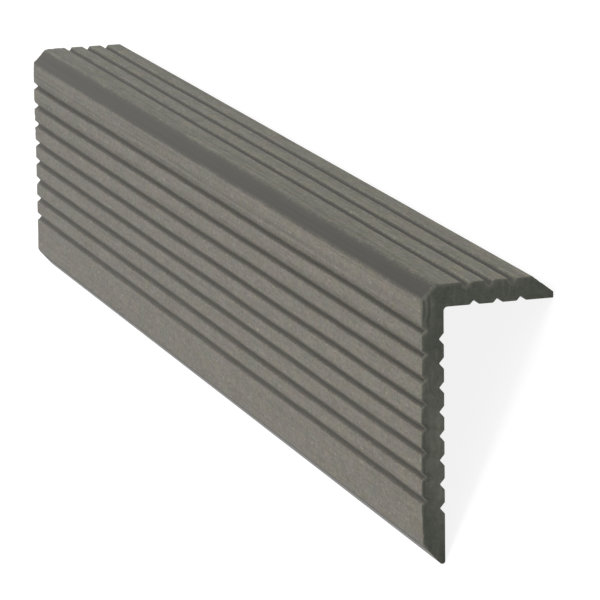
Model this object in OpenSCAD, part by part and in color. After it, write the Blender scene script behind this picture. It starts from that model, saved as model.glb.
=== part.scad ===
// Corner trim for composite decking: one extruded length of L-shaped section.
// The long leg covers the edge of the deck, and the short leg laps over the boards.
// The section is drawn with its outer corner at [0, 0]: x runs back from the front
// face and y runs up to the top face, so both legs lie at x >= 0 and y <= 0.
// The finished length runs along X and rests on the tips of its two legs.

/* [Legs] */
// Length of the piece
length = 385; // [100:5:1200]
// Height of the long leg, over the outside of the corner
long_leg = 73; // [50:1:120]
// Depth of the short leg, over the outside of the corner
short_leg = 35.5; // [25:0.5:70]
// Thickness of both legs
wall = 6; // [5:0.25:9]

/* [Corner] */
// Each side of the chamfer on the outer corner
corner_chamfer = 4.1; // [2:0.1:6]
// Radius of the fillet in the inner corner
inner_fillet = 1; // [0.5:0.1:3]

/* [Grooves] */
// Distance from one groove to the next
groove_pitch = 6.3; // [5:0.1:9]
// Width of a groove at its mouth, on the outer faces and under the short leg
groove_width = 2.5; // [2:0.1:3.6]
// Width of a groove at its mouth, on the inner face of the long leg
inner_width = 3; // [2:0.1:3.6]
// Depth of a groove
groove_depth = 1.3; // [0.5:0.1:1.8]
// Distance from the outer corner to the first groove of an outer face
first_groove = 12; // [10:0.1:16]
// How much further from the corner each groove of an inner face lies
inner_shift = 2.2; // [0:0.1:3]
// Least distance from the end of a leg to its last groove
plain_end = 10.8; // [10:0.1:18]

/* [Leg ends] */
// Height of the bevel at the foot of the long leg
foot_bevel = 5.4; // [2:0.1:7]
// Thickness that the bevel leaves at the foot
foot_nose = 1.2; // [1.1:0.1:3]
// Length of the bevel at the tip of the short leg
tip_bevel = 5.6; // [2:0.1:7]
// Thickness that the bevel leaves at the tip
tip_nose = 1.6; // [0.8:0.1:3]

/* [Rounding] */
// Radius on the lips of the grooves
lip_round = 0.5; // [0.1:0.05:0.6]
// Radius in the bottom of the grooves
bottom_round = 0.25; // [0.1:0.05:0.4]
// Radius on the edges of the chamfer and of the two bevels
edge_round = 0.6; // [0.1:0.05:1]
// Radius on the edges of the foot's nose
foot_round = 0.7; // [0.1:0.05:0.8]
// Radius on the edges of the blunt tip
tip_round = 0.2; // [0.1:0.05:0.4]

/* [Hidden] */
trim_colour = [0.49, 0.48, 0.44];
// Straight pieces that stand for each rounded edge
arc_steps = 4;

up = [0, 1];
back = [1, 0];
// Grooves that fit on each leg, one row outside and one row inside
long_grooves = groove_count(long_leg);
short_grooves = groove_count(short_leg);

function groove_count(leg) = 1 + floor((leg - plain_end - first_groove) / groove_pitch);
function groove_at(i) = first_groove + i * groove_pitch;

// A V groove in a face: lip, bottom, lip, each as [point, radius].
// middle is its centre on the face, along the way the outline runs, and into the wall.
function groove(middle, along, into, width) = [
    [middle - along * width / 2, lip_round],
    [middle + into * groove_depth, bottom_round],
    [middle + along * width / 2, lip_round]
];

// The four grooved faces, in the order in which the outline passes them
front_face = [
    for (i = [long_grooves - 1 : -1 : 0])
        each groove(-up * groove_at(i), up, back, groove_width)
];
top_face = [
    for (i = [0 : short_grooves - 1])
        each groove(back * groove_at(i), back, -up, groove_width)
];
under_face = [
    for (i = [short_grooves - 1 : -1 : 0])
        each groove([groove_at(i) + inner_shift, -wall], -back, up, groove_width)
];
inner_face = [
    for (i = [0 : long_grooves - 1])
        each groove([wall, -groove_at(i) - inner_shift], -up, -back, inner_width)
];

// Corners of the whole section, clockwise from the foot, each as [point, radius]
corners = concat(
    [
        [[wall, -long_leg], foot_round],
        [[wall - foot_nose, -long_leg], foot_round],
        [[0, foot_bevel - long_leg], edge_round]
    ],
    front_face,
    [
        [[0, -corner_chamfer], edge_round],
        [[corner_chamfer, 0], edge_round]
    ],
    top_face,
    [
        [[short_leg - tip_bevel, 0], edge_round],
        [[short_leg, tip_nose - wall], tip_round],
        [[short_leg, -wall], tip_round]
    ],
    under_face,
    [
        [[wall, -wall], inner_fillet]
    ],
    inner_face
);

function unit(v) = v / norm(v);
function direction(v) = atan2(v[1], v[0]);
// The turn from angle a to angle b by the shorter way
function turn(a, b) = (b - a + 540) % 360 - 180;

// Points of the arc that rounds corner p, between its neighbours before and after
function rounded(before, p, after, r) =
    let (
        to_before = unit(before - p),
        to_after = unit(after - p),
        half = acos(to_before * to_after) / 2,
        centre = p + unit(to_before + to_after) * r / sin(half),
        start = direction(p + to_before * r / tan(half) - centre),
        end = direction(p + to_after * r / tan(half) - centre)
    )
    [
        for (k = [0 : arc_steps])
            let (a = start + turn(start, end) * k / arc_steps)
            centre + r * [cos(a), sin(a)]
    ];

last_corner = len(corners) - 1;
section_points = [
    for (i = [0 : last_corner])
        let (
            before = corners[i == 0 ? last_corner : i - 1][0],
            after = corners[i == last_corner ? 0 : i + 1][0]
        )
        each rounded(before, corners[i][0], after, corners[i][1])
];

// Unheld, the trim rests on both leg tips with its corner up. This is the slope of
// the line that touches the rounded foot and the rounded tip from below.
foot_centre = [wall - foot_round, foot_round - long_leg];
tip_centre = [short_leg - tip_round, tip_round - wall];
between_tips = tip_centre - foot_centre;
rest_tilt = direction(between_tips) - asin((tip_round - foot_round) / norm(between_tips));

// Place of a section point once the section has been turned to rest
function turned(p) = [
    p[0] * cos(rest_tilt) + p[1] * sin(rest_tilt),
    p[1] * cos(rest_tilt) - p[0] * sin(rest_tilt)
];
turned_y = [for (p = section_points) turned(p)[0]];
turned_z = [for (p = section_points) turned(p)[1]];
middle_y = (min(turned_y) + max(turned_y)) / 2;
floor_z = min(turned_z);

// The section, turned to rest, with the floor at y = 0 and its middle at x = 0
module resting_section() {
    translate([-middle_y, -floor_z])
        rotate(-rest_tilt)
            polygon(section_points);
}

// The trim itself, with the middle of its length at the origin
module corner_trim() {
    color(trim_colour)
        translate([-length / 2, 0, 0])
            rotate([90, 0, 90])
                linear_extrude(length)
                    resting_section();
}

corner_trim();
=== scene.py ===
"""Looks of the composite decking corner trim: the extruded length, its finish, light and camera."""

import math

import bpy
import numpy as np
from mathutils import Matrix, Vector, noise
from mathutils.geometry import delaunay_2d_cdt


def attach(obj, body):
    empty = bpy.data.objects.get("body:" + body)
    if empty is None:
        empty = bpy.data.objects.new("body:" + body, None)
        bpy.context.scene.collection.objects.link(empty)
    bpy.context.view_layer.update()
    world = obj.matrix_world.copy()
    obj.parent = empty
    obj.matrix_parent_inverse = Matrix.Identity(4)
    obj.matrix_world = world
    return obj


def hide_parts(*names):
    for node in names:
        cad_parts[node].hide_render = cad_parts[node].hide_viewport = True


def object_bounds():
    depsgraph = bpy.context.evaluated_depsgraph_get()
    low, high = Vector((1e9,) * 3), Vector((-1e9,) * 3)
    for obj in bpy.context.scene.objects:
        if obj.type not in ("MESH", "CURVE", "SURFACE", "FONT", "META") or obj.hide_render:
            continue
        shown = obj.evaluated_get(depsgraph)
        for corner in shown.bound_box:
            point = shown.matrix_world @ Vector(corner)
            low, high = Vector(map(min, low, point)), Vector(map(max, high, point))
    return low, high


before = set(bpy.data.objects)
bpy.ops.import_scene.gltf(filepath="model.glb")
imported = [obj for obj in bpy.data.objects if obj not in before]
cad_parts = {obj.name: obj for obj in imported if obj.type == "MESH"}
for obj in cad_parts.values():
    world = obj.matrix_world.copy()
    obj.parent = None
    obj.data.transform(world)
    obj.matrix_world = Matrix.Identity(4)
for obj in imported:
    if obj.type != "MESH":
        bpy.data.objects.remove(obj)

MM = 0.001
CAD_LOW, CAD_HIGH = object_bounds()
# Half the length, from the middle at x = 0 to a sawn plane
HALF = (CAD_HIGH.x - CAD_LOW.x) / 2

# Turn of the section from upright to rest, and where its outer corner then lies
REST_TILT = math.radians(66.1112)
CORNER_Y = 26.3307 * MM
CORNER_Z = 34.8247 * MM

# Sizes of the section that tell one surface from another
LONG_LEG = 73.0 * MM
SHORT_LEG = 35.5 * MM
CHAMFER = 4.1 * MM
FOOT_BEVEL = 5.4 * MM
TIP_BEVEL = 5.6 * MM
FIRST_GROOVE = 12.0 * MM
GROOVE_PITCH = 6.3 * MM
GROOVE_MOUTH = 2.5 * MM
FRONT_GROOVES = 8
TOP_GROOVES = 3
# Points less deep than this belong to an outer face, its grooves included
FACE_DEPTH = 2.0 * MM

# Fineness of the mesh: along the outline, along the length, close to a sawn end, and on it
OUTER_STEP = 0.36 * MM
INNER_STEP = 0.8 * MM
ROW_STEP = 3.3 * MM
END_ROWS = np.array([0.0, 1.5, 2.0, 2.8, 4.0, 5.6]) * MM
END_LENGTH = 7.6 * MM
CAP_STEP = 0.62 * MM
CAP_CLEAR = 0.55 * CAP_STEP

# Width of the worn rim of a sawn end, measured along the length
LAND_RIM = 0.2 * MM
LOW_RIM = 0.9 * MM
GROOVE_RIM = 0.75 * MM
CORNER_RIM = 0.95 * MM
INNER_RIM = 0.06 * MM
# How far the rim slopes in across the section: a share of its width, and no more than an inset
RIM_SLOPE = 0.7
RIM_INSET = 0.46 * MM
LIP_INSET = 0.28 * MM
# Its two rings: share of the slope, share of the width left to the sawn plane, strength of the tone
RIM_RINGS = ((0.35, 0.2925, 1.0), (1.0, 0.0, 0.6))
# Where the rim begins: strength of its tone, and how sanded the outer faces look there at least, partly
# wear and partly painted light against the dark line the rounded edge shows
RIM_START_TONE = 0.4
RIM_START_WEAR_AND_LIGHT = 0.55

# Fine relief: depths into the surface
WAVE_DEPTH = 0.03 * MM
NIBBLE_DEPTH = 0.05 * MM
CHIP_DEPTH = 0.18 * MM
SAWN_DIP = 0.05 * MM
# Fine relief: shifts along the surface
SWAY = 0.12 * MM
LONG_WANDER = 0.5 * MM
SHORT_WANDER = 0.15 * MM
SWERVE = 0.5 * MM
LEAN = 0.08 * MM

# Distances of the two long drag lines from the outer corner
FRONT_LINE = 8.3 * MM
TOP_LINE = 5.9 * MM

# How sanded the top is beside the chamfer, by the distance past its edge in millimetres
TOP_EDGE_AT = (-2.2, -1.2, -0.5, -0.1, 0.3, 0.9)
TOP_EDGE_SAND = (0.0, 0.1, 0.27, 0.5, 0.85, 1.0)


def to_rest(x, y, z):
    """A direction given upright, with y to the back and z up, once the trim lies at rest."""
    c, s = math.cos(REST_TILT), math.sin(REST_TILT)
    return Vector((x, y * c + z * s, z * c - y * s))


def to_section(points):
    """Places [Y, Z] as the section's own [back, up], measured from its outer corner."""
    c, s = math.cos(REST_TILT), math.sin(REST_TILT)
    y = points[:, 0] - CORNER_Y
    z = points[:, 1] - CORNER_Z
    return np.stack([y * c - z * s, z * c + y * s], 1)


def outline_of(node):
    """The section's outline as [Y, Z] points in order, read from the CAD solid's end face."""
    mesh = node.data
    mesh.calc_loop_triangles()
    end = max(v.co.x for v in mesh.vertices)
    names = {}
    places = []
    edges = set()
    for tri in mesh.loop_triangles:
        corners = [mesh.vertices[i].co for i in tri.vertices]
        if min(c.x for c in corners) < end - 1e-6:
            continue
        ids = []
        for c in corners:
            key = (round(c.y * 1e7), round(c.z * 1e7))
            if key not in names:
                names[key] = len(places)
                places.append((c.y, c.z))
            ids.append(names[key])
        for a, b in zip(ids, ids[1:] + ids[:1]):
            edges.add((a, b))
    after = {a: b for a, b in edges if (b, a) not in edges}
    start = min(after, key=lambda i: places[i])
    order = [start]
    while after[order[-1]] != start:
        order.append(after[order[-1]])
    return np.array([places[i] for i in order])


def refined(points):
    """The same closed line with its long stretches cut up, more finely on the outer faces."""
    made = []
    for a, b in zip(points, np.roll(points, -1, 0)):
        back, up = to_section(np.array([(a + b) / 2]))[0]
        step = OUTER_STEP if min(back, -up) < FACE_DEPTH else INNER_STEP
        parts = max(1, round(float(np.linalg.norm(b - a)) / step))
        for k in range(parts):
            made.append(a + (b - a) * k / parts)
    return np.array(made)


def unit(vectors):
    """Each row's vector at length 1."""
    return vectors / np.linalg.norm(vectors, axis=1)[:, None]


def directions_of(points):
    """Outward normals of a closed line that runs counter-clockwise, and the ways it runs."""
    before = unit(points - np.roll(points, 1, 0))
    after = unit(np.roll(points, -1, 0) - points)
    along = unit(before + after)
    return np.stack([along[:, 1], -along[:, 0]], 1), along


def passage(value, start, end):
    """0 up to start, 1 from end on, and a soft passage between them."""
    t = np.clip((value - start) / (end - start), 0, 1)
    return t * t * (3 - 2 * t)


def fading(value, start, end):
    """1 up to start, 0 from end on, and a soft passage between them."""
    return 1 - passage(value, start, end)


def bell(value, middle, width):
    """1 at the middle, falling away softly on both sides."""
    return np.exp(-((value - middle) / width) ** 2)


def between(a, b, part):
    """a where part is 0, b where it is 1."""
    return a + (b - a) * part


def sampled(points, length, width, seed):
    """Smooth noise from 0 to 1 at each point, with features so many millimetres long and wide."""
    scale = np.array([length * MM, width * MM, width * MM])
    shift = Vector((seed * 17.31, seed * 5.17, seed * 9.73))
    values = [noise.noise(Vector(p) + shift) for p in (points / scale).reshape(-1, 3)]
    return 0.5 + 0.5 * np.array(values).reshape(points.shape[:-1])


outline = refined(outline_of(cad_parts["corner_trim"]))
normal, along = directions_of(outline)
back, up = to_section(outline).T

# Which points lie on the two sanded faces, how far down a groove, and how far from the corner
on_front = (back < FACE_DEPTH) & (up < -CHAMFER * 0.95) & (up > FOOT_BEVEL * 0.9 - LONG_LEG)
on_top = (up > -FACE_DEPTH) & (back > CHAMFER * 0.95) & (back < SHORT_LEG - TIP_BEVEL * 0.9)
outer = (back < FACE_DEPTH) | (up > -FACE_DEPTH)
depth = np.where(on_front, back, -up)
leg = np.where(on_front, -up, back)
last = np.where(on_front, FRONT_GROOVES, TOP_GROOVES) - 1
number = np.clip(np.round((leg - FIRST_GROOVE) / GROOVE_PITCH), 0, last)
across = leg - FIRST_GROOVE - number * GROOVE_PITCH
# The sanding rolls over the lips; on the front grooves the land colour also covers the upper flanks
# nearly to the bottom, painted light on flanks that face down
upper_lip = between(1, 0.55, passage(depth, 0.8 * MM, 1.3 * MM))
lower_lip = fading(depth, 0.1 * MM, 0.7 * MM)
top_lip = fading(depth, 0.15 * MM, 0.75 * MM)
sanded = on_front * np.where(across < 0, upper_lip, lower_lip) + on_top * top_lip
# Some skin is left along the lips above the first front grooves
missed = bell(-across, GROOVE_MOUTH / 2 + 0.55 * MM, 0.5 * MM)
missed *= 0.36 * on_front * np.exp(-(number / 1.7) ** 2)
# Dust lies in the front grooves, more in the lower ones, and a little in the top ones and inside; in the
# front grooves it thins towards the bottom, and the darker skin left there is painted shade
deep = (on_front | on_top) * passage(depth, 0.2 * MM, 0.8 * MM)
painted_bottom_shade = (1.02 - 0.045 * number) * passage(depth, 0.35 * MM, 1.1 * MM)
dust_and_shade = np.where(on_front, (0.6 + 0.06 * number) * (1.2 - painted_bottom_shade), 0.15)
dust_and_shade = np.where(outer, deep * dust_and_shade, 0.6)
# The skin is duller in the grooves and inside, and dullest on the bevels of the foot and the tip
bevels = outer & ((up < FOOT_BEVEL * 0.98 - LONG_LEG) | (back > SHORT_LEG - TIP_BEVEL * 0.98))
dull = np.where(outer, deep * 0.5, 0.5) + bevels * 1.5
# Distances from the two edges of the chamfer: plus on the sanded land, minus on the chamfer
chamfer = ~on_front & ~on_top & (back - up < 1.1 * CHAMFER)
past_front = np.where(on_front, -up - CHAMFER, np.where(chamfer, -back * math.sqrt(2), -1.0))
past_top = np.where(on_top, back - CHAMFER, np.where(chamfer, up * math.sqrt(2), -1.0))
# The two lands beside the chamfer carry most of the long drag lines
corner_land = bell(np.maximum(leg - CHAMFER, 0), 0.0, 6 * MM) * sanded
# A sawn edge is worn most at the corner, less in a groove and low on the front, and least elsewhere
knocked = on_front * fading(-up, CHAMFER, 9 * MM) + on_top * fading(back, CHAMFER, 6.5 * MM)
knocked += chamfer
low_front = on_front * passage(-up, 22 * MM, 36 * MM) * fading(-up, 57 * MM, 68 * MM)
rim = between(between(LAND_RIM, LOW_RIM, low_front), GROOVE_RIM, deep)
rim = np.where(outer, np.maximum(rim, CORNER_RIM * knocked), INNER_RIM)
# The rim slopes in further in the grooves and at the corner than on the tightly rounded lips
most_inset = between(LIP_INSET, RIM_INSET, np.maximum(deep, knocked))
# The rim's tone is above zero where it is pale, wear with a painted highlight, and below zero, dark, low
# on the front, painted shade that offsets the light its sloping face catches
rim_tone = outer * (1 - 0.6 * knocked) * (1 - low_front) - low_front

# Rows of points along the length, closer together near the sawn ends
inner = HALF - END_LENGTH
middle_rows = np.linspace(-inner, inner, round(2 * inner / ROW_STEP) + 1)
xs = np.concatenate([END_ROWS - HALF, middle_rows, (HALF - END_ROWS)[::-1]])[:, None]
rows = len(xs)
n = len(outline)


def on_rows(y, z):
    """A point of every row for each place on the outline, from its y and z."""
    points = np.zeros((rows, n, 3))
    points[:, :, 0] = xs
    points[:, :, 1] = y
    points[:, :, 2] = z
    return points


points = on_rows(outline[:, 0], outline[:, 1])
wave = sampled(points, 34, 9, 1)
nibble = sampled(points, 5, 2.2, 2)
sway = sampled(points, 13, 4, 3)
fade = sampled(points, 16, 40, 6)
drift = sampled(points, 90, 40, 8)
# The same for every point of a groove: how far it has wandered at each row
groove_places = on_rows(number * 7 * MM, on_top * 90 * MM)
wander = LONG_WANDER * (sampled(groove_places, 55, 3, 9) - 0.5)
wander += SHORT_WANDER * (sampled(groove_places, 11, 3, 10) - 0.5)
chips = np.clip((sampled(points, 0.9, 1.1, 4) - 0.62) / 0.2, 0, 1)

# 0 at the near end, 1 at the far end
far = 0.5 - xs / (2 * HALF)
sawn_row = np.abs(xs) > HALF - 1e-7
# Where the sanding ends at the two edges of the chamfer
front_line = (0.7 * far - 0.3 + 0.5 * (fade - 0.5)) * MM
front_edge = passage(past_front - front_line, -0.6 * MM, 0.8 * MM)
top_line = (-0.35 * far - 0.7 * (fade - 0.5)) * MM
top_edge = np.interp((past_top - top_line) / MM, TOP_EDGE_AT, TOP_EDGE_SAND)
sand = sanded * np.where(on_front, front_edge, np.where(on_top, top_edge, 1.0))
sand = np.where(chamfer, np.maximum(front_edge, top_edge), sand)
sand -= missed * (0.3 + 1.4 * fade)
# Two long drag lines beside the chamfer, one on each face
dragged = leg + (1.6 * drift - 0.8) * MM
front_drag = bell(dragged, FRONT_LINE, 0.45 * MM) * between(0.35, 1.0, passage(far, 0.1, 0.35))
top_drag = bell(dragged + 0.9 * far * MM, TOP_LINE, 0.4 * MM) * 0.6
streak = (on_front * front_drag + on_top * top_drag) * (0.5 + fade)

# Waves, deeper where sanded, nibbled edges of the sanding, and chips along the sawn edges
inward = WAVE_DEPTH * (1 + sand) * wave + NIBBLE_DEPTH * nibble * (1 - np.abs(2 * sand - 1))
inward += CHIP_DEPTH * chips * sawn_row * outer
sideways = SWAY * (sway - 0.5) * np.clip(1.6 - 1.6 * sand, 0, 1)
points[:, :, 1:] += along * sideways[:, :, None] - normal * inward[:, :, None]
# No groove runs quite true: each has an offset and wanders, and the front ones swerve as well
beside = np.abs(across) - GROOVE_MOUTH / 2
in_groove = (on_front | on_top) * fading(beside, 0.2 * MM, 1.3 * MM)
front_offset = 0.13 - 0.018 * (number - 3.9) ** 2
offset = np.where(on_front, front_offset, -0.03 - 0.05 * number) * MM
swerve = SWERVE * (far - 0.4) * on_front * np.clip(1.2 - 0.11 * number, 0.4, 1)
moved = in_groove * (offset + wander + swerve)
# Grooves move along their face: on the front away from the corner is down, on the top it is back
upward = np.array(to_rest(0, 0, 1))[1:]
backward = np.array(to_rest(0, 1, 0))[1:]
points[:, :, 1:] += moved[:, :, None] * np.where(on_front[:, None], -upward, backward)
# The bottoms of the front grooves lean a little away from the corner
lean = LEAN * on_front * passage(depth, 0.4 * MM, 1.25 * MM)
points[:, :, 1:] -= lean[:, None] * upward
# The sides stop short of the sawn planes by the width of the worn rim
rims = rim * (0.6 + 0.8 * sampled(points, 1, 2.4, 5))
points[:, :, 0] -= np.sign(xs) * sawn_row * rims
# At the sawn edge the outer faces look sanded at least so far: partly wear, partly painted light against
# the dark line of the rounded edge
sand = np.where(sawn_row, np.maximum(sand, RIM_START_WEAR_AND_LIGHT * outer), sand)
# Nothing leaves the box of the CAD solid
points[:, :, 1:] = np.clip(points[:, :, 1:], CAD_LOW[1:], CAD_HIGH[1:])

verts = [tuple(p) for p in points.reshape(-1, 3)]
faces = []
# What the materials read at each point
layers = {
    "sanded": sand,
    "dust_and_shade": dust_and_shade,
    "dull": dull,
    "far": far,
    "top": on_top,
    "streak": streak,
    "corner": corner_land,
    "rim": sawn_row * RIM_START_TONE * rim_tone,
    "back": 0.0,
    "up": 0.0,
}
for name, values in layers.items():
    layers[name] = list(np.broadcast_to(values, (rows, n)).ravel())


def add_band(first, second, turn):
    """Joins two closed rings of vertices with quads; turn is 1, or -1 to make them face back."""
    for i in range(n):
        j = (i + 1) % n
        faces.append((first + i, first + j, second + j, second + i)[::turn])


def add_sawn(x, place, rim):
    """Adds a point of a sawn face, with its place in the section in millimetres."""
    back, up = to_section(np.array([place]))[0] / MM
    verts.append((x, place[0], place[1]))
    known = {"rim": rim, "back": back, "up": up}
    for name, values in layers.items():
        values.append(known.get(name, 0.0))


def within(p, ring):
    """Whether a point lies inside a closed line."""
    a = ring
    b = np.roll(ring, -1, 0)
    crossing = (a[:, 1] > p[1]) != (b[:, 1] > p[1])
    dy = np.where(crossing, b[:, 1] - a[:, 1], 1.0)
    at = a[:, 0] + (p[1] - a[:, 1]) * (b[:, 0] - a[:, 0]) / dy
    return np.count_nonzero(crossing & (p[0] < at)) % 2 == 1


def inside_of(ring):
    """Points of a regular net that lie inside a closed line and clear of it."""
    low, high = ring.min(0), ring.max(0)
    inside = []
    for y in np.arange(low[0], high[0], CAP_STEP):
        for k, z in enumerate(np.arange(low[1], high[1], CAP_STEP)):
            p = np.array([y + (k % 2) * CAP_STEP / 2, z])
            if within(p, ring) and np.min(np.linalg.norm(ring - p, axis=1)) > CAP_CLEAR:
                inside.append(p)
    return inside


def cap(row, outward):
    """Closes one end with a sawn face: a narrow worn rim, then a finely divided plane."""
    plane = outward * HALF
    width = rims[row]
    slope = np.minimum(width * RIM_SLOPE, most_inset)
    first = row * n
    for part, left, strength in RIM_RINGS:
        ring = points[row, :, 1:] - normal * (part * slope)[:, None]
        before = first
        first = len(verts)
        for i, p in enumerate(ring):
            add_sawn(plane - outward * width[i] * left, p, rim_tone[i] * strength)
        add_band(before, first, outward)
    net = [Vector(p) for p in (*ring, *inside_of(ring))]
    made = delaunay_2d_cdt(net, [], [list(range(n))], 1, 1e-9)
    places, tris, origins = made[0], made[2], made[3]
    ids = []
    for p, origin in zip(places, origins):
        if origin and origin[0] < n:
            ids.append(first + origin[0])
            continue
        dip = 0.5 + 0.5 * noise.noise(Vector((p.x / (4 * MM), p.y / (4 * MM), 7.1 * outward)))
        ids.append(len(verts))
        add_sawn(plane - outward * SAWN_DIP * dip, p, 0.0)
    for tri in tris:
        faces.append(tuple(ids[k] for k in tri)[::outward])


for row in range(rows - 1):
    add_band(row * n, (row + 1) * n, 1)
sides = len(faces)
cap(rows - 1, 1)
cap(0, -1)

mesh = bpy.data.meshes.new("trim")
mesh.from_pydata(verts, [], faces)
mesh.validate()
trim = bpy.data.objects.new("trim", mesh)
bpy.context.scene.collection.objects.link(trim)
for name, values in layers.items():
    layer = mesh.attributes.new(name, "FLOAT", "POINT")
    layer.data.foreach_set("value", np.array(values, np.float32))
slots = np.zeros(len(mesh.polygons), np.int32)
slots[sides:] = 1
mesh.polygons.foreach_set("material_index", slots)
mesh.polygons.foreach_set("use_smooth", np.ones(len(mesh.polygons), bool))
mesh.update()
triangles = sum(len(p.vertices) - 2 for p in mesh.polygons)
print("trim:", len(mesh.vertices), "vertices,", triangles, "triangles")


def srgb(r, g, b):
    """A colour as it looks, 0 to 255, as the linear colour that a shader takes."""
    def linear(v):
        v /= 255
        return v / 12.92 if v <= 0.04045 else ((v + 0.055) / 1.055) ** 2.4
    return (linear(r), linear(g), linear(b), 1.0)


# Colours of the sanded lands and of what shows in them
LAND_DARK = srgb(124, 121, 112)
LAND = srgb(128, 124, 115)
LAND_LIGHT = srgb(132, 127, 118)
PALE_FLECK = srgb(168, 164, 150)
CHAFF = srgb(173, 168, 148)
DARK_FIBRE = srgb(98, 95, 87)
DRAG_LINE = srgb(92, 90, 83)
# Colours of the die's skin and of the dust on it; where the dust thins at the bottoms of the front
# grooves, the dark skin is painted shade
SKIN_DARK = srgb(42, 39, 27)
SKIN_LIGHT = srgb(47, 44, 32)
DUST = srgb(83, 80, 73)
# Colours of the sawn face and of its worn rim, which carries a painted highlight
SAWN_DARK = srgb(83, 86, 78)
SAWN = srgb(92, 94, 86)
SAWN_LIGHT = srgb(101, 102, 94)
WORN_RIM_HIGHLIGHT = srgb(124, 124, 113)
# Tints, by which a colour is multiplied
PINKISH = (1.022, 0.978, 1.01, 1.0)
GREENISH = (0.978, 1.022, 0.99, 1.0)
BLUISH = (0.99, 1.0, 1.05, 1.0)
YELLOWISH = (1.01, 1.0, 0.95, 1.0)
FAR_TINT = (0.985, 1.0, 1.04, 1.0)
TOP_TINT = (1.02, 1.055, 1.03, 1.0)
COOL_STROKE = (0.86, 0.88, 0.89, 1.0)
WARM_STROKE = (1.13, 1.10, 1.07, 1.0)
PALE_SMEAR_AND_LIGHT = (1.45, 1.44, 1.42, 1.0)


class Shade:
    """A material whose nodes are made and joined by short calls."""

    def __init__(self, name):
        self.material = bpy.data.materials.new(name)
        self.material.use_nodes = True
        self.tree = self.material.node_tree
        self.tree.nodes.clear()
        self.bsdf = self.tree.nodes.new("ShaderNodeBsdfPrincipled")
        output = self.tree.nodes.new("ShaderNodeOutputMaterial")
        self.tree.links.new(self.bsdf.outputs[0], output.inputs["Surface"])
        self.place = self.tree.nodes.new("ShaderNodeTexCoord").outputs["Object"]

    def link(self, source, socket):
        """Joins a socket to another's output, or gives it a constant value."""
        if hasattr(source, "links"):
            self.tree.links.new(source, socket)
        else:
            socket.default_value = source

    def attribute(self, name):
        node = self.tree.nodes.new("ShaderNodeAttribute")
        node.attribute_name = name
        return node.outputs["Fac"]

    def vector(self, x, y):
        node = self.tree.nodes.new("ShaderNodeCombineXYZ")
        self.link(x, node.inputs[0])
        self.link(y, node.inputs[1])
        return node.outputs[0]

    def noise(self, vector, detail=3.0, roughness=0.55, distortion=0.0):
        node = self.tree.nodes.new("ShaderNodeTexNoise")
        node.inputs["Scale"].default_value = 1.0
        node.inputs["Detail"].default_value = detail
        node.inputs["Roughness"].default_value = roughness
        node.inputs["Distortion"].default_value = distortion
        self.link(vector, node.inputs["Vector"])
        return node.outputs[0]

    def cloud(self, length, width, *settings):
        """Noise on the piece, with features about so many millimetres long and wide."""
        node = self.tree.nodes.new("ShaderNodeMapping")
        node.inputs["Scale"].default_value = (1 / (length * MM), 1 / (width * MM), 1 / (width * MM))
        self.link(self.place, node.inputs["Vector"])
        return self.noise(node.outputs[0], *settings)

    def ramp(self, value, *stops):
        """Values or colours by position: each stop is (position, value or colour)."""
        node = self.tree.nodes.new("ShaderNodeValToRGB")
        while len(node.color_ramp.elements) < len(stops):
            node.color_ramp.elements.new(0.5)
        for element, (position, colour) in zip(node.color_ramp.elements, stops):
            element.position = position
            element.color = colour if isinstance(colour, tuple) else (colour, colour, colour, 1.0)
        self.link(value, node.inputs[0])
        return node.outputs[0]

    def math(self, kind, a, b):
        node = self.tree.nodes.new("ShaderNodeMath")
        node.operation = kind
        self.link(a, node.inputs[0])
        self.link(b, node.inputs[1])
        return node.outputs[0]

    def plus(self, a, b):
        return self.math("ADD", a, b)

    def times(self, a, b):
        return self.math("MULTIPLY", a, b)

    def over(self, a, b):
        return self.math("DIVIDE", a, b)

    def mix(self, factor, a, b, kind="MIX"):
        node = self.tree.nodes.new("ShaderNodeMix")
        node.data_type = "RGBA"
        node.blend_type = kind
        self.link(factor, node.inputs[0])
        self.link(a, node.inputs[6])
        self.link(b, node.inputs[7])
        return node.outputs[2]

    def tinted(self, colour, tint, factor=1.0):
        """The colour multiplied by a tint, as far as the factor says."""
        return self.mix(factor, colour, tint, "MULTIPLY")

    def bump(self, height, depth, strength, below=None):
        """Relief of a depth in millimetres, on top of the relief below it."""
        node = self.tree.nodes.new("ShaderNodeBump")
        node.inputs["Distance"].default_value = depth * MM
        node.inputs["Strength"].default_value = strength
        self.link(height, node.inputs["Height"])
        if below is not None:
            self.link(below, node.inputs["Normal"])
        return node.outputs[0]


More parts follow.
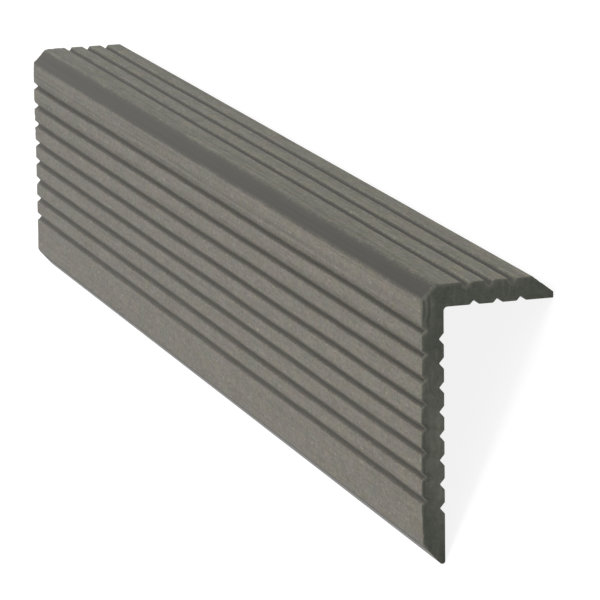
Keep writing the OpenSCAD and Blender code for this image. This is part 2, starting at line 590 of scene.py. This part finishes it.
def extruded_material():
    """Sanded lands on the outer faces, and the smooth darker skin of the die everywhere else."""
    s = Shade("composite_faces")
    top = s.attribute("top")
    # The line between land and skin is nibbled by the coarse fibres
    fray = s.math("SUBTRACT", s.cloud(1.6, 0.35, 2.0, 0.6), 0.5)
    land = s.attribute("sanded")
    border = s.times(s.times(land, s.math("SUBTRACT", 1.0, land)), 4.0)
    land = s.plus(land, s.times(fray, s.times(border, 1.7)))
    land = s.math("MINIMUM", s.math("MAXIMUM", land, 0.0), 1.0)
    # Sanded lands: brownish grey in faint clouds
    clouds = s.cloud(9, 4, 3.0, 0.6)
    tint = s.ramp(clouds, (0.32, LAND_DARK), (0.5, LAND), (0.68, LAND_LIGHT))
    # Faint patches lie over the clouds, pinkish to greenish and, apart from these, bluish to yellowish
    tint = s.tinted(tint, s.ramp(s.cloud(7, 3, 3.0, 0.6), (0.35, PINKISH), (0.65, GREENISH)))
    tint = s.tinted(tint, s.ramp(s.cloud(6, 2.6, 3.0, 0.6), (0.35, BLUISH), (0.65, YELLOWISH)))
    mottle = s.cloud(1.9, 0.9, 3.0, 0.65)
    tint = s.tinted(tint, s.ramp(mottle, (0.30, 0.84), (0.5, 1.0), (0.70, 1.16)))
    # Wood in the composite: pale flecks, longer chaff and dark fibres
    flecks = s.cloud(1.1, 0.55, 2.0, 0.6)
    pale = s.ramp(flecks, (0.62, 0.0), (0.74, 1.0))
    tint = s.mix(s.times(pale, 0.6), tint, PALE_FLECK)
    chaff = s.ramp(s.cloud(2.6, 0.8, 1.0, 0.5), (0.70, 0.0), (0.80, 1.0))
    tint = s.mix(s.times(chaff, 0.7), tint, CHAFF)
    dark = s.ramp(s.cloud(3.2, 0.5, 2.0, 0.6), (0.28, 1.0), (0.40, 0.0))
    tint = s.mix(s.times(dark, 0.42), tint, DARK_FIBRE)
    # Fine scratches, and the long drag lines, most of them beside the chamfer and on the top
    scratch = s.cloud(45, 0.32, 4.0, 0.7)
    tint = s.tinted(tint, s.ramp(scratch, (0.30, 0.88), (0.5, 1.0), (0.70, 1.09)))
    lines = s.ramp(s.cloud(190, 0.9, 2.0, 0.5), (0.34, 0.84), (0.47, 1.0), (0.60, 1.03))
    drawn_on = s.math("MAXIMUM", s.attribute("corner"), s.times(top, 0.6))
    tint = s.tinted(tint, lines, s.math("MAXIMUM", drawn_on, 0.25))
    tint = s.mix(s.times(s.attribute("streak"), 0.38), tint, DRAG_LINE)
    tint = s.tinted(tint, FAR_TINT, s.attribute("far"))
    # The top is paler and sanded less evenly: short warm and cool strokes along the length
    tint = s.tinted(tint, TOP_TINT, top)
    strokes = s.cloud(15, 0.9, 3.0, 0.65)
    strokes = s.ramp(strokes, (0.33, COOL_STROKE), (0.5, 1.0), (0.67, WARM_STROKE))
    tint = s.tinted(tint, strokes, top)
    # Skin of the die: even dark grey with faint lines drawn along the length
    drawn = s.cloud(220, 0.7, 3.0, 0.6)
    skin = s.ramp(drawn, (0.3, SKIN_DARK), (0.7, SKIN_LIGHT))
    skin = s.tinted(skin, s.ramp(s.cloud(14, 5, 2.0, 0.5), (0.3, 0.9), (0.7, 1.08)), 0.5)
    # Dust over the skin; where it thins at the bottoms of the front grooves, the darker skin is painted
    # shade
    strewn = s.ramp(s.cloud(9, 1.2, 4.0, 0.65), (0.35, 0.68), (0.65, 1.17))
    skin = s.mix(s.times(s.attribute("dust_and_shade"), strewn), skin, DUST)
    s.link(s.mix(land, skin, tint), s.bsdf.inputs["Base Color"])
    # The skin has some sheen, and the lands have hardly any
    skin_rough = s.plus(s.ramp(drawn, (0.3, 0.30), (0.7, 0.37)), s.times(s.attribute("dull"), 0.13))
    rough = s.mix(land, skin_rough, s.ramp(flecks, (0.3, 0.86), (0.7, 0.74)))
    s.link(rough, s.bsdf.inputs["Roughness"])
    s.bsdf.inputs["Specular IOR Level"].default_value = 0.18
    grain = s.times(s.plus(s.plus(scratch, flecks), mottle), land)
    s.link(s.bump(drawn, 0.03, 0.35, s.bump(grain, 0.07, 0.8)), s.bsdf.inputs["Normal"])
    return s.material


def sawn_material():
    """The sawn ends: the dark body of the composite, smeared by the blade and worn at the rim, with
    painted light and shade on the long leg and on the rim.
    """
    s = Shade("composite_sawn")
    rim = s.attribute("rim")
    back = s.attribute("back")
    up = s.attribute("up")
    body = s.cloud(2, 3.5, 4.0, 0.6, 0.6)
    tint = s.ramp(body, (0.30, SAWN_DARK), (0.5, SAWN), (0.70, SAWN_LIGHT))
    # The blade ran down the section: its smears are long in that direction, with a little sway
    run = s.vector(s.over(back, 1.1), s.over(up, 11.0))
    smear = s.ramp(s.noise(run, 4.0, 0.6, 0.9), (0.38, 0.92), (0.52, 1.0), (0.70, 1.28))
    patch = s.ramp(s.cloud(9, 9, 2.0), (0.38, 0.2), (0.62, 1.0))
    tint = s.tinted(tint, smear, patch)
    # 0 at the foot, 1 at the tip of the short leg, by way of the corner
    from_foot = s.plus(s.plus(back, up), LONG_LEG / MM)
    from_foot = s.over(from_foot, (LONG_LEG + SHORT_LEG) / MM)
    # Along the front edge the face is smeared paler; over the middle of the long leg the paler tone is
    # partly smears and partly painted light from the floor, and the shade ramp is painted shade near the
    # foot and below the corner
    pale = s.ramp(from_foot, (0.0, 0.0), (0.1, 0.0), (0.17, 0.85), (0.36, 1.0), (0.5, 0.3),
                  (0.62, 0.0), (1.0, 0.05))
    pale = s.times(pale, s.ramp(s.over(back, 6.0), (0.05, 0.1), (0.3, 0.75), (0.75, 1.15)))
    shade = s.ramp(from_foot, (0.1, 0.93), (0.18, 1.0), (0.5, 1.0), (0.58, 0.9), (0.66, 0.96),
                   (0.8, 1.0))
    tint = s.tinted(tint, shade)
    edge = s.ramp(s.over(back, 3.0), (0.1, 0.75), (0.7, 0.0))
    edge = s.times(edge, s.ramp(s.over(up, -50.0), (0.45, 1.0), (0.75, 0.15)))
    pale = s.math("MAXIMUM", pale, s.times(edge, patch))
    # Below the corner the blade left a few dark and pale arcs, side by side
    sway = s.times(s.math("SUBTRACT", s.cloud(9, 5, 2.0), 0.5), 1.6)
    arcs = s.ramp(s.over(s.plus(back, sway), 3.5), (0.1, 1.3), (0.2, 0.7), (0.38, 1.5),
                  (0.58, 0.78), (0.76, 1.3), (1.0, 1.0))
    below = s.ramp(s.over(up, -16.0), (0.12, 0.0), (0.22, 1.0), (0.55, 0.9), (0.8, 0.0))
    tint = s.tinted(tint, arcs, below)
    tint = s.tinted(tint, PALE_SMEAR_AND_LIGHT, s.times(pale, 0.8))
    grit = s.cloud(0.5, 0.5, 2.0, 0.6)
    tint = s.tinted(tint, s.ramp(grit, (0.3, 0.88), (0.7, 1.12)), 0.7)
    # The rim: paler where its tone is above zero, wear with a painted highlight, and darker where it is
    # below, painted shade
    worn_and_lit = s.times(rim, s.ramp(s.cloud(3, 3, 2.0), (0.35, 0.45), (0.6, 1.0)))
    tint = s.mix(s.math("MAXIMUM", worn_and_lit, 0.0), tint, WORN_RIM_HIGHLIGHT)
    tint = s.tinted(tint, s.ramp(s.plus(rim, 1.0), (0.4, 0.8), (1.0, 1.0)))
    s.link(tint, s.bsdf.inputs["Base Color"])
    s.link(s.ramp(grit, (0.3, 0.9), (0.7, 0.75)), s.bsdf.inputs["Roughness"])
    s.bsdf.inputs["Specular IOR Level"].default_value = 0.2
    s.link(s.bump(grit, 0.08, 0.7), s.bsdf.inputs["Normal"])
    return s.material


mesh.materials.append(extruded_material())
mesh.materials.append(sawn_material())
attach(trim, "root")
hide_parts("corner_trim")

# Floor and world, which look one way to the camera and light the object in another
WHITE = (1.0, 1.0, 1.0, 1.0)
FLOOR_REACH = 12.0
FLOOR_COLOUR = (0.8, 0.8, 0.8, 1.0)
# To the camera the floor glows close to white, and its dark colour keeps the shadow
FLOOR_SEEN = (0.25, 0.25, 0.25, 1.0)
FLOOR_GLOW = 0.87
AMBIENT = 0.42


def new_node(tree, kind, **values):
    """A new node with values set on its sockets."""
    node = tree.nodes.new(kind)
    for name, value in values.items():
        node.inputs[name].default_value = value
    return node


def looked_at(tree):
    """1 for a ray that shows the surface: straight from the camera, in a reflection or through glass."""
    path = tree.nodes.new("ShaderNodeLightPath")
    seen = path.outputs["Is Camera Ray"]
    for ray in ("Is Glossy Ray", "Is Transmission Ray"):
        either = tree.nodes.new("ShaderNodeMath")
        either.operation = "MAXIMUM"
        tree.links.new(seen, either.inputs[0])
        tree.links.new(path.outputs[ray], either.inputs[1])
        seen = either.outputs[0]
    return seen


def finish_tree(tree, output, lit, seen):
    """Ends a tree with one shader for light and another for the rays that show the surface."""
    pick = tree.nodes.new("ShaderNodeMixShader")
    tree.links.new(looked_at(tree), pick.inputs[0])
    tree.links.new(lit.outputs[0], pick.inputs[1])
    tree.links.new(seen.outputs[0], pick.inputs[2])
    tree.links.new(pick.outputs[0], tree.nodes.new(output).inputs["Surface"])


def floor_material():
    """Plain and pale, and close to white to the camera, with the shadow kept."""
    material = bpy.data.materials.new("floor")
    material.use_nodes = True
    tree = material.node_tree
    tree.nodes.clear()
    plain = new_node(tree, "ShaderNodeBsdfDiffuse", Color=FLOOR_COLOUR)
    shadow = new_node(tree, "ShaderNodeBsdfDiffuse", Color=FLOOR_SEEN)
    glow = new_node(tree, "ShaderNodeEmission", Color=WHITE, Strength=FLOOR_GLOW)
    both = tree.nodes.new("ShaderNodeAddShader")
    tree.links.new(shadow.outputs[0], both.inputs[0])
    tree.links.new(glow.outputs[0], both.inputs[1])
    finish_tree(tree, "ShaderNodeOutputMaterial", plain, both)
    return material


def set_world():
    """White to the camera, and a plain soft light on the object."""
    world = bpy.data.worlds.new("studio")
    bpy.context.scene.world = world
    world.use_nodes = True
    tree = world.node_tree
    tree.nodes.clear()
    soft = new_node(tree, "ShaderNodeBackground", Color=WHITE, Strength=AMBIENT)
    white = new_node(tree, "ShaderNodeBackground", Color=WHITE, Strength=1.0)
    finish_tree(tree, "ShaderNodeOutputWorld", soft, white)


floor_mesh = bpy.data.meshes.new("floor")
corners = ((-1, -1, 0), (1, -1, 0), (1, 1, 0), (-1, 1, 0))
floor_mesh.from_pydata([Vector(c) * FLOOR_REACH for c in corners], [], [(0, 1, 2, 3)])
floor_mesh.materials.append(floor_material())
floor = bpy.data.objects.new("floor", floor_mesh)
bpy.context.scene.collection.objects.link(floor)
set_world()

# The key lamp: P watts at d metres give a share of full light of P / (pi * pi * d * d)
KEY_TOWARDS = to_rest(-0.1, -0.9, 0.42).normalized()
KEY_DISTANCE = 2.0
KEY_SIZE = 1.4
KEY_SHARE = 0.62


def key_lamp():
    """A soft square lamp that shines on the middle of the trim from its front."""
    data = bpy.data.lights.new("key", "AREA")
    data.shape = "SQUARE"
    data.size = KEY_SIZE
    data.energy = KEY_SHARE * math.pi ** 2 * KEY_DISTANCE ** 2
    light = bpy.data.objects.new("key", data)
    bpy.context.scene.collection.objects.link(light)
    light.location = KEY_TOWARDS * KEY_DISTANCE
    light.rotation_mode = "QUATERNION"
    light.rotation_quaternion = KEY_TOWARDS.to_track_quat("Z", "Y")
    light.visible_camera = False


key_lamp()

# Camera: the photograph's view of the trim upright, turned with it to rest
CAMERA_AT = Vector((1027.89, -361.85, 243.19)) * MM
CAMERA_AZIMUTH = math.radians(72.204)
CAMERA_ELEVATION = math.radians(12.748)
CAMERA_ROLL = math.radians(0.802)
LENS = 267.25


def photo_camera():
    """The camera, placed from the near outer corner of the trim."""
    data = bpy.data.cameras.new("photo")
    data.sensor_width = 36.0
    data.lens = LENS
    data.clip_start = 0.05
    data.clip_end = 100.0
    a, e = CAMERA_AZIMUTH, CAMERA_ELEVATION
    look = Vector((-math.sin(a) * math.cos(e), math.cos(a) * math.cos(e), -math.sin(e)))
    right = look.cross(Vector((0, 0, 1))).normalized()
    over = right.cross(look)
    lean = over * math.cos(CAMERA_ROLL) + right * math.sin(CAMERA_ROLL)
    side = look.cross(lean)
    look, lean, side = to_rest(*look), to_rest(*lean), to_rest(*side)
    camera = bpy.data.objects.new("photo", data)
    bpy.context.scene.collection.objects.link(camera)
    near_corner = Vector((HALF, CORNER_Y, CORNER_Z))
    place = Matrix((side, lean, -look)).transposed().to_4x4()
    place.translation = near_corner + to_rest(*CAMERA_AT)
    camera.matrix_world = place
    bpy.context.scene.camera = camera


photo_camera()
bpy.context.scene.view_settings.view_transform = "Standard"
